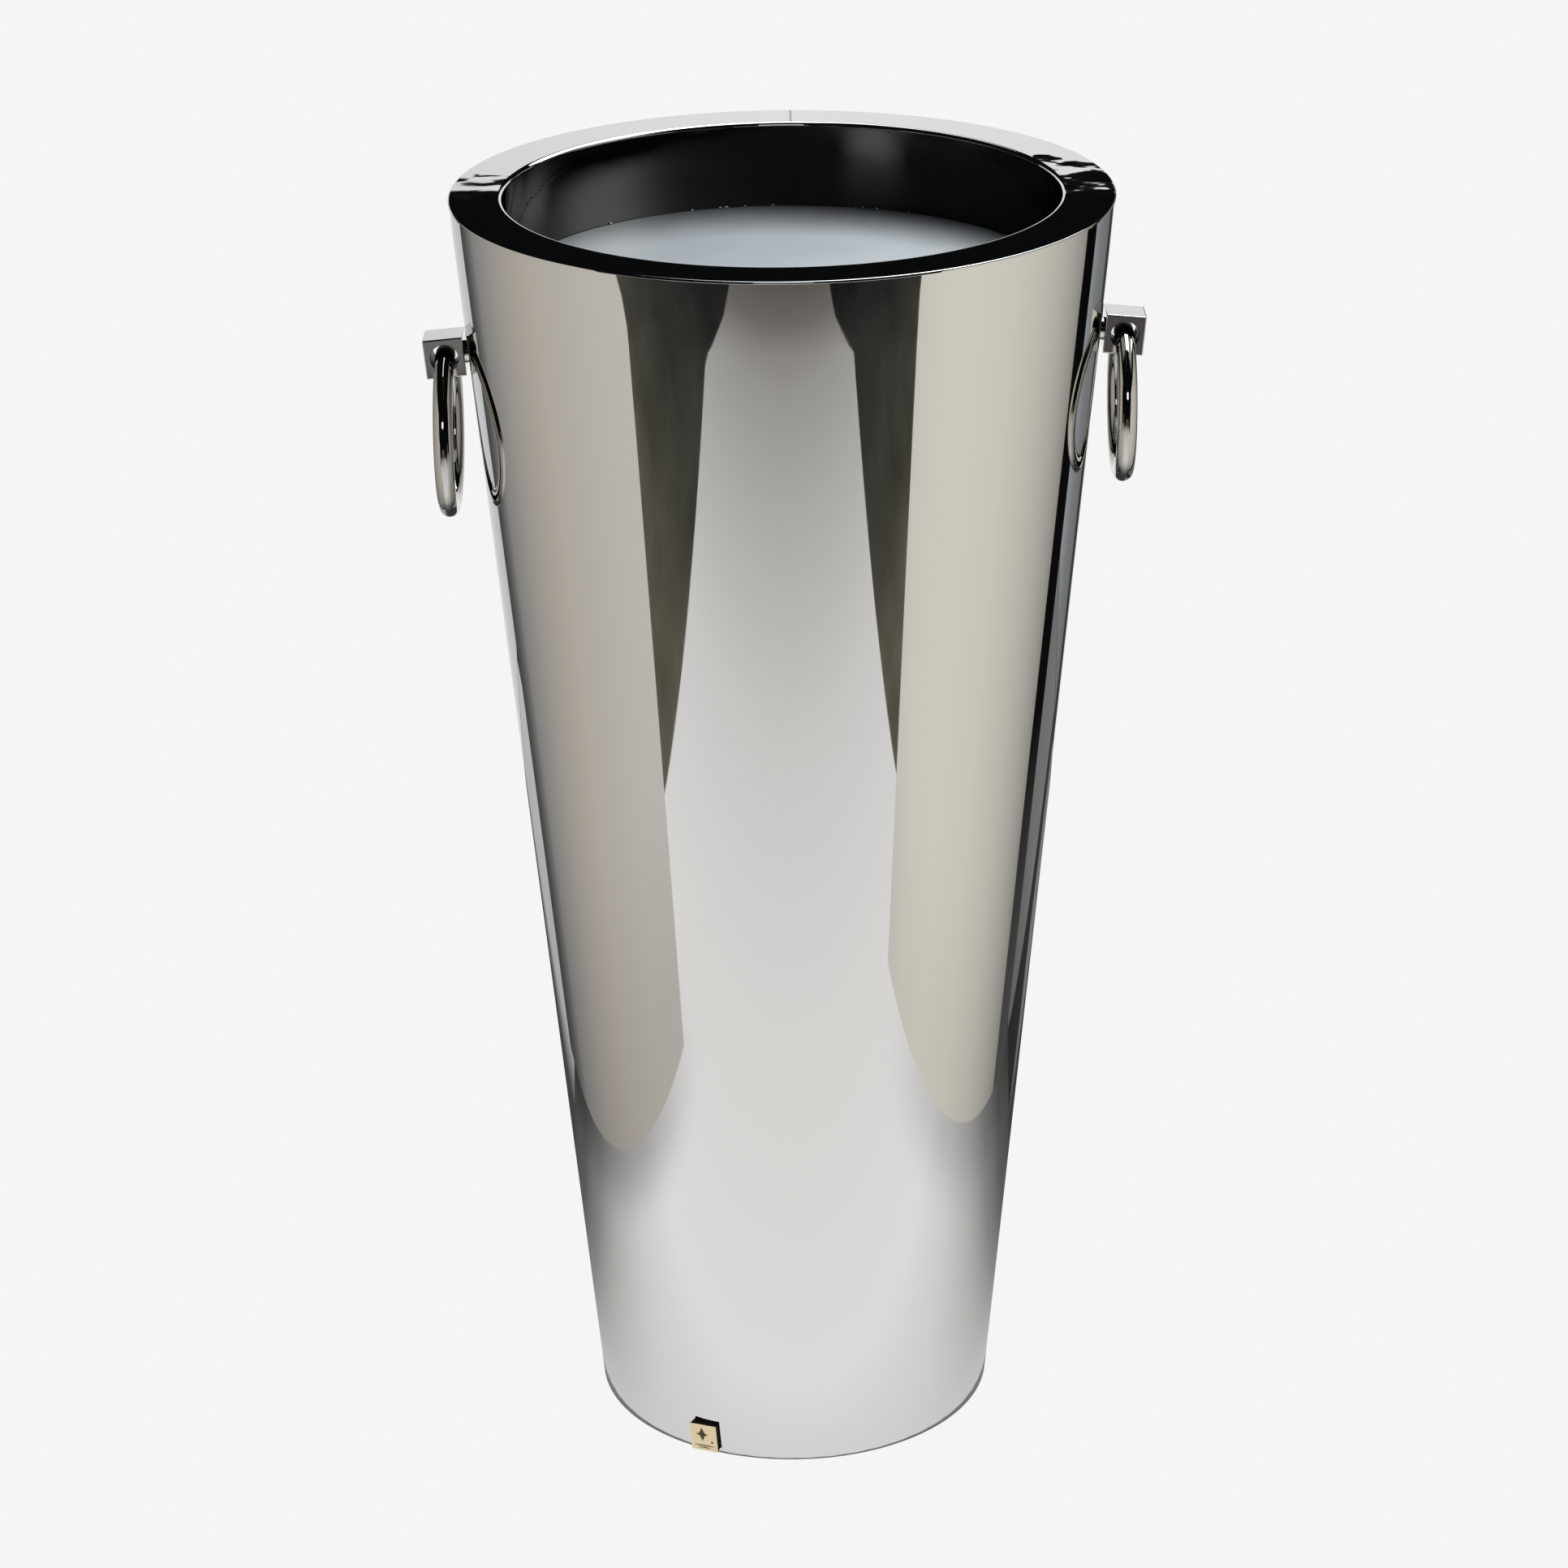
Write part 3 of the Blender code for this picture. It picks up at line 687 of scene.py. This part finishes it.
def make_badge():
    """Flat gilt plate, its edges eased, engraved with a plain star over a double rule."""
    deselect()
    bpy.ops.mesh.primitive_cube_add(size=1)
    plate = name_piece("gilt_badge")
    bpy.ops.object.mode_set(mode="EDIT")
    bpy.ops.transform.resize(value=BADGE_SIZE, center_override=(0, 0, 0))
    bpy.ops.object.mode_set(mode="OBJECT")
    ease = plate.modifiers.new("ease", "BEVEL")
    ease.width = 0.2 * MM
    ease.segments = 3
    apply_all(plate)
    face = BADGE_SIZE[0] / 2
    tools = []
    # A four-pointed star from two crossed lozenges, a small disc beside it and a double rule under it.
    # Each is (corners, across, up, width, height), in millimetres.
    marks = [(4, -1.0, 2.4, 4.6, 10.5), (4, -1.0, 2.4, 8.6, 3.6), (24, 5.6, -2.9, 1.7, 1.7)]
    marks += [(24, 0, -6.1, 14, 0.9), (24, 0, -7.7, 9, 0.8)]
    for number, (corners, across, up, wide, tall) in enumerate(marks):
        deselect()
        bpy.ops.mesh.primitive_cylinder_add(vertices=corners, radius=0.5, depth=2 * ENGRAVING)
        mark = name_piece(f"mark_{number}")
        shape = Matrix.Diagonal((1, wide * MM, tall * MM, 1)) @ Matrix.Rotation(math.pi / 2, 4, "Y")
        settle(mark, Matrix.Translation((face, across * MM, up * MM)) @ shape)
        tools.append(mark)
    plate.data.materials.append(gilt)
    plate.data.materials.append(enamel)
    plate.data.materials.append(foam)  # the plate's black carrier, seen on its sides and back
    for tool in tools:
        only(tool)
        bpy.ops.object.mode_set(mode="EDIT")
        bpy.ops.mesh.select_all(action="SELECT")
        bpy.ops.mesh.normals_make_consistent(inside=False)
        bpy.ops.object.mode_set(mode="OBJECT")
        cut(plate, tool)
    half_wide, half_tall = BADGE_SIZE[1] / 2 - 0.5 * MM, BADGE_SIZE[2] / 2 - 0.5 * MM
    for side in plate.data.polygons:
        inside = abs(side.center.y) < half_wide and abs(side.center.z) < half_tall
        sunk = -face + 0.1 * MM < side.center.x < face - 0.02 * MM
        side.material_index = 1 if inside and sunk else 0 if side.normal.x > 0.5 else 2
    finish_surface(plate, 30)
    settle(plate, badge_frame() @ Matrix.Translation((BADGE_STAND_OFF + face, 0, 0)))
    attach(plate, "bucket")
    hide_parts("badge_plate")
    return plate


def finish_hidden_parts():
    """The CAD nodes that stay as they are: fittings, base plate, ballast, feet and the badge's pad."""
    finishes = {
        "base_plate": plate_steel,
        "ballast_disc": iron,
        "badge_pad": foam,
        "handle_spreader": plate_steel,
        "handle_nut": zinc,
        "ballast_": zinc,
        "foot_pad": rubber,
        "foot_": zinc,
    }
    for name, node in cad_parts.items():
        for start, finish in finishes.items():
            if name.startswith(start):
                for held in node.material_slots:
                    held.material = finish
                break


make_shell()
make_rim()
make_basin_floor()
make_tack_welds()
make_rim_seam()
for side in HANDLE_DROPS:
    make_eye(side)
    make_stud(side)
    make_ring(side)
make_badge()
finish_hidden_parts()


# ---------------------------------------------------------------- studio

REFLECTANCE = 0.70  # of the steel, so that a card's colour here is the colour seen in the steel


def lit(name, axis, stops, mottle=0.0, strength=1.0, shades=(), reach=0):
    """A card that glows evenly, in colours that change along one axis. Stops are (metres, sRGB hex).
    A shade is (depth, (axis, start, full), ...), where the glow falls off towards an edge or a corner.
    With reach, the card shows only in that many reflections one after another, as light behind a baffle does."""
    made, tree, output = empty_material(name)
    place = add(tree, "ShaderNodeTexCoord").outputs["Object"]
    split = add(tree, "ShaderNodeSeparateXYZ", inputs={"Vector": place})
    first, last = stops[0][0], stops[-1][0]
    along = add(
        tree,
        "ShaderNodeMapRange",
        inputs={"Value": split.outputs[axis], "From Min": first, "From Max": last},
    )
    colours = [((at - first) / (last - first), linear(colour)) for at, colour in stops]
    ramp = add(tree, "ShaderNodeValToRGB", {"stops": colours}, {"Fac": along.outputs["Result"]})
    factors = []
    if mottle:
        patches = add(tree, "ShaderNodeTexNoise", inputs={"Vector": place, "Scale": 4.0, "Detail": 4.0})
        span = {"From Min": 0.3, "From Max": 0.7, "To Min": 1 - mottle, "To Max": 1 + mottle}
        depth = add(tree, "ShaderNodeMapRange", inputs={"Value": patches.outputs["Fac"], **span})
        factors.append(depth.outputs["Result"])
    for most, *edges in shades:
        deep = None
        for letter, start, full in edges:
            edge = add(
                tree,
                "ShaderNodeMapRange",
                {"interpolation_type": "SMOOTHSTEP"},
                {"Value": split.outputs[letter], "From Min": min(start, full), "From Max": max(start, full)},
            )
            edge.inputs["To Min"].default_value = 0.0 if start < full else 1.0
            edge.inputs["To Max"].default_value = 1.0 if start < full else 0.0
            now = edge.outputs["Result"]
            if deep:
                now = add(tree, "ShaderNodeMath", {"operation": "MULTIPLY"}, {0: deep, 1: now}).outputs["Value"]
            deep = now
        fall = add(tree, "ShaderNodeMapRange", inputs={"Value": deep, "To Min": 1.0, "To Max": 1 - most})
        factors.append(fall.outputs["Result"])
    if reach:
        path = add(tree, "ShaderNodeLightPath")
        near = add(tree, "ShaderNodeMath", {"operation": "LESS_THAN"}, {0: path.outputs["Ray Depth"], 1: reach + 0.5})
        factors.append(near.outputs["Value"])
    seen = ramp.outputs["Color"]
    for factor in factors:
        scaled = add(tree, "ShaderNodeVectorMath", {"operation": "SCALE"}, {"Vector": seen, "Scale": factor})
        seen = scaled.outputs["Vector"]
    glow = add(tree, "ShaderNodeEmission", inputs={"Color": seen, "Strength": strength / REFLECTANCE})
    tree.links.new(glow.outputs["Emission"], output.inputs["Surface"])
    return made


def card(name, corners, material, seen_by_camera=False):
    """A flat card through these corners. It shows only in reflections, unless the camera may see it."""
    deselect()
    bpy.ops.mesh.primitive_plane_add(size=1)
    made = name_piece(name)
    bpy.ops.object.mode_set(mode="EDIT")
    shape = bmesh.from_edit_mesh(made.data)
    if len(corners) == 4:
        for point, corner in zip(shape.faces[:][0].verts, corners):
            point.co = corner
    else:
        bmesh.ops.delete(shape, geom=shape.verts[:], context="VERTS")
        shape.faces.new([shape.verts.new(corner) for corner in corners])
    bmesh.update_edit_mesh(made.data)
    bpy.ops.object.mode_set(mode="OBJECT")
    made.data.materials.append(material)
    made.visible_camera = seen_by_camera
    made.visible_glossy = not seen_by_camera
    made.visible_diffuse = False
    made.visible_shadow = False
    made.visible_transmission = False
    return made


PANEL_TOP = 0.84  # just above the rim
LEFT_PANEL, RIGHT_PANEL = -0.42, 0.45
BACKDROP = 1.0
FLOOR_REACH = 30

# Colours of each card, as (metres along its axis, colour)
# The paper darkens from about -0.1 m back: painted shadow of the bucket and the panels.
PAPER = [(-2.25, "#444240"), (-1.95, "#57544F"), (-1.8, "#6A6764"), (-1.6, "#959390"), (-1.4, "#A8A6A4")]
PAPER += [(-1.2, "#B6B5B3"), (-1.0, "#C5C4C2"), (-0.8, "#CDCCCB"), (-0.55, "#D4D3D1"), (-0.2, "#DAD9D8")]
PAPER += [(-0.1, "#CBCAC9"), (0.0, "#AEADAB"), (0.1, "#7E7E7E"), (0.2, "#545453"), (0.3, "#424242")]
PAPER_OUTLINE = [(-0.75, -1.5), (-0.62, -1.74), (-0.52, -2.25), (0.45, -2.25)]
PAPER_OUTLINE += [(0.54, -1.76), (0.68, -1.55), (0.62, 0.3), (-0.68, 0.3)]
FAR_FLOOR = [(-1.0, "#646462"), (-0.2, "#646462"), (0.2, "#474343"), (1.0, "#474343")]
DARK_FLOOR = [(-3.0, "#101010"), (-1.9, "#191918"), (-1.65, "#252523"), (-1.4, "#33322E")]
DARK_FLOOR += [(-1.1, "#3F3E37"), (-0.85, "#565348"), (0.4, "#3A3938"), (1.2, "#30302F")]
# Floor behind on the left, dark from about -0.35 m to the middle: painted shadow of the bucket.
REAR_LEFT_SHADOWED = [(-0.78, "#AEAFB0"), (-0.43, "#9C9D9E"), (-0.38, "#747474"), (-0.32, "#3C3C3C"), (0.0, "#333333")]
REAR_RIGHT = [(0.2, "#585958"), (0.45, "#626362"), (0.6, "#696A69"), (1.0, "#696A69")]
# A band of painted shadow of the bucket, on the floor behind it to the right.
REAR_SHADOW_BAND = [(0.28, 0.25), (0.47, 0.25), (0.53, 0.6), (0.62, 1.0), (0.50, 1.0), (0.43, 0.6)]
# The left panel darkens towards its back edge, and towards its foot through its shade: painted shade.
LEFT = [(-0.39, "#B9B5AF"), (-0.25, "#B6B1A9"), (-0.1, "#ACA69E"), (0.0, "#9F9991"), (0.1, "#8A8884")]
LEFT += [(0.17, "#7C7B79"), (0.22, "#626160"), (0.27, "#4C4C4B"), (0.335, "#3E3E3D")]
LEFT_CORNER = [(-0.25, PANEL_TOP), (-0.33, 0.68), (-0.36, 0.65), (-0.38, 0.62), (-0.39, 0.59)]
# The right panel likewise darkens towards its back edge and its foot: painted shade.
RIGHT = [(-0.51, "#C3C0B8"), (-0.4, "#C9C6BC"), (-0.28, "#CBC8BE"), (-0.15, "#C6C2B9"), (-0.05, "#BBB7AE")]
RIGHT += [(0.05, "#A6A39C"), (0.12, "#918F89"), (0.155, "#838078")]
RIGHT_CORNER = [(-0.36, PANEL_TOP), (-0.44, 0.67), (-0.47, 0.64), (-0.50, 0.61), (-0.51, 0.57)]
BACK = [(-0.84, "#AEB0B2"), (-0.5, "#B8B9BA"), (-0.3, "#CACACA"), (0.0, "#D4D4D3"), (0.40, "#CFCFCE")]
BACK += [(0.44, "#3A3A39"), (0.56, "#2C2C2C"), (0.62, "#646564"), (0.85, "#6E7072"), (1.15, "#8A8E92")]
SOFTBOX = [(-0.25, "#8E9296"), (0.45, "#DDE2E4"), (2.1, "#F6FAFC")]


def level(x, y, z):
    """The corners of a level card, from its ends along X and Y."""
    return [(x[0], y[0], z), (x[1], y[0], z), (x[1], y[1], z), (x[0], y[1], z)]


def upright(x, y, z):
    """The corners of an upright card square to X, from its ends along Y and Z."""
    return [(x, y[0], z[0]), (x, y[1], z[0]), (x, y[1], z[1]), (x, y[0], z[1])]


def build_studio():
    """White paper on a dark floor, a panel each side, a backdrop, and lamps above and in front. Paper, floors, panels
    and backdrop are glowing cards, with the room's light and shade painted into their colours.
    """
    # Painted shade on the paper beside each panel.
    paper_shade_by_panels = [(0.45, ("X", -0.31, -0.42), ("Y", -0.5, -0.12)), (0.3, ("X", 0.32, 0.45), ("Y", -0.5, -0.12))]
    paper = lit("paper_with_painted_shade", "Y", PAPER, shades=paper_shade_by_panels)
    card("paper", [(x, y, -0.002) for x, y in PAPER_OUTLINE], paper)
    card("far_floor", level((-0.55, 0.6), (-4, -2.2), -0.003), lit("far_floor", "X", FAR_FLOOR))
    card("dark_floor", level((-4, 4), (-4, 2), -0.006), lit("dark_studio_floor", "Y", DARK_FLOOR, 0.25))
    shade = lit("shade_under_the_foot", "Y", [(-1, "#707070"), (1, "#707070")])
    angles = [i * math.pi / 24 for i in range(48)]
    card("foot_shade", [(0.1325 * math.cos(a), 0.1325 * math.sin(a), -0.001) for a in angles], shade)
    # Painted shadow of the bucket on the floor behind, to the left.
    rear_left = lit("floor_behind_left_painted_shadow", "X", REAR_LEFT_SHADOWED)
    card("rear_floor_left", level((-0.80, 0), (0.3, BACKDROP), -0.003), rear_left)
    rear_right = lit("floor_behind_on_the_right", "Y", REAR_RIGHT)
    card("rear_floor_right", level((0.3, 1.3), (0.2, BACKDROP), -0.004), rear_right)
    # A dark card that is painted shadow of the bucket on the floor behind.
    band = lit("painted_shadow_band_behind", "Y", [(0.2, "#262626"), (1.0, "#333332")])
    card("rear_shadow_band", [(x, y, -0.003) for x, y in REAR_SHADOW_BAND], band)

    # Painted shade: each panel darker towards its back edge and its foot.
    left = lit("left_panel", "Y", LEFT, shades=[(0.16, ("Z", 0.3, 0.0))])
    outline = [(-0.39, 0), (0.335, 0), (0.335, PANEL_TOP)] + LEFT_CORNER
    card("panel_left", [(LEFT_PANEL, y, z) for y, z in outline], left)
    right = lit("right_panel", "Y", RIGHT, shades=[(0.08, ("Z", 0.25, 0.0))])
    outline = [(-0.51, 0), (0.155, 0), (0.155, PANEL_TOP)] + RIGHT_CORNER
    card("panel_right", [(RIGHT_PANEL, y, z) for y, z in outline], right)
    # A dark card in the gap behind the right panel, lighter towards the floor: painted shade.
    edge = lit("dark_gap_painted_shade", "Z", [(0.0, "#464646"), (0.16, "#343434"), (0.3, "#0C0C0C"), (1.15, "#020202")])
    card("dark_gap_behind_right_panel", upright(RIGHT_PANEL, (0.155, 0.25), (0, PANEL_TOP)), edge)
    corners = [(-0.84, BACKDROP, 0), (1.15, BACKDROP, 0), (1.15, BACKDROP, 1.047), (-0.84, BACKDROP, 1.066)]
    card("backdrop_card", corners, lit("backdrop", "X", BACK, reach=2))

    overhead = lit("overhead_softbox", "X", SOFTBOX, strength=3.8, reach=1)
    card("softbox", [(-0.25, 1.6, 1.8), (2.1, 1.6, 1.8), (2.1, 0.0, 2.9), (-0.25, 0.0, 2.9)], overhead)
    soft_ends = [(1.0, ("Y", 0.1, 0.4)), (0.8, ("Y", 0.0, -0.2))]
    # Grey card above the right panel, glowing dim as the panel's upper part in shade: painted shade, with soft ends.
    high = lit("upper_right", "Z", [(0.95, "#A4A49E"), (1.35, "#A4A49E")], mottle=0.2, shades=soft_ends)
    card("upper_right_card", upright(RIGHT_PANEL, (-0.2, 0.4), (0.95, 1.35)), high)
    front = lit("front_lamp", "X", [(-1, "#F6F6F6"), (1, "#F6F6F6")], strength=1.4, reach=1)
    card("front_lamp_card", [(-0.7, -4.2, 2.0), (0.7, -4.2, 2.0), (0.7, -4.0, 2.7), (-0.7, -4.0, 2.7)], front)
    ends = (-FLOOR_REACH, FLOOR_REACH)
    pale = lit("pale_floor", "Y", [(end, "#F5F5F5") for end in ends], strength=REFLECTANCE)
    card("floor", level(ends, ends, 0), pale, seen_by_camera=True)

    world = bpy.data.worlds.new("studio_air")
    bpy.context.scene.world = world
    world.use_nodes = True
    tree = world.node_tree
    tree.nodes.clear()
    pale_air = add(tree, "ShaderNodeBackground", inputs={"Color": linear("#F5F5F5"), "Strength": 1.0})
    dark_air = add(tree, "ShaderNodeBackground", inputs={"Color": linear("#0C0D0E"), "Strength": 1.0})
    path = add(tree, "ShaderNodeLightPath")
    # Pale air to the eye, dark air in the steel.
    both = add(
        tree,
        "ShaderNodeMixShader",
        inputs={
            0: path.outputs["Is Glossy Ray"],
            1: pale_air.outputs["Background"],
            2: dark_air.outputs["Background"],
        },
    )
    output = add(tree, "ShaderNodeOutputWorld")
    tree.links.new(both.outputs["Shader"], output.inputs["Surface"])


CAMERA_SPOT = (0, -2.5239, 1.4701)
CAMERA_LENS = 99.013
CAMERA_PAN, CAMERA_TILT, CAMERA_ROLL = 0.0618, 22.5858, -0.6459  # degrees


def place_camera():
    """Above the rim and looking down, with a long lens."""
    camera = bpy.data.objects.new("camera", bpy.data.cameras.new("camera"))
    bpy.context.scene.collection.objects.link(camera)
    camera.data.sensor_width = 36
    camera.data.lens = CAMERA_LENS
    camera.data.clip_start = 0.05
    camera.data.clip_end = 100
    turned = Matrix.Rotation(math.radians(CAMERA_PAN), 4, "Z")
    pitched = Matrix.Rotation(math.radians(90 - CAMERA_TILT), 4, "X")
    rolled = Matrix.Rotation(math.radians(CAMERA_ROLL), 4, "Z")
    camera.matrix_world = Matrix.Translation(CAMERA_SPOT) @ turned @ pitched @ rolled
    bpy.context.scene.camera = camera


build_studio()
place_camera()
bpy.context.scene.view_settings.view_transform = "Standard"
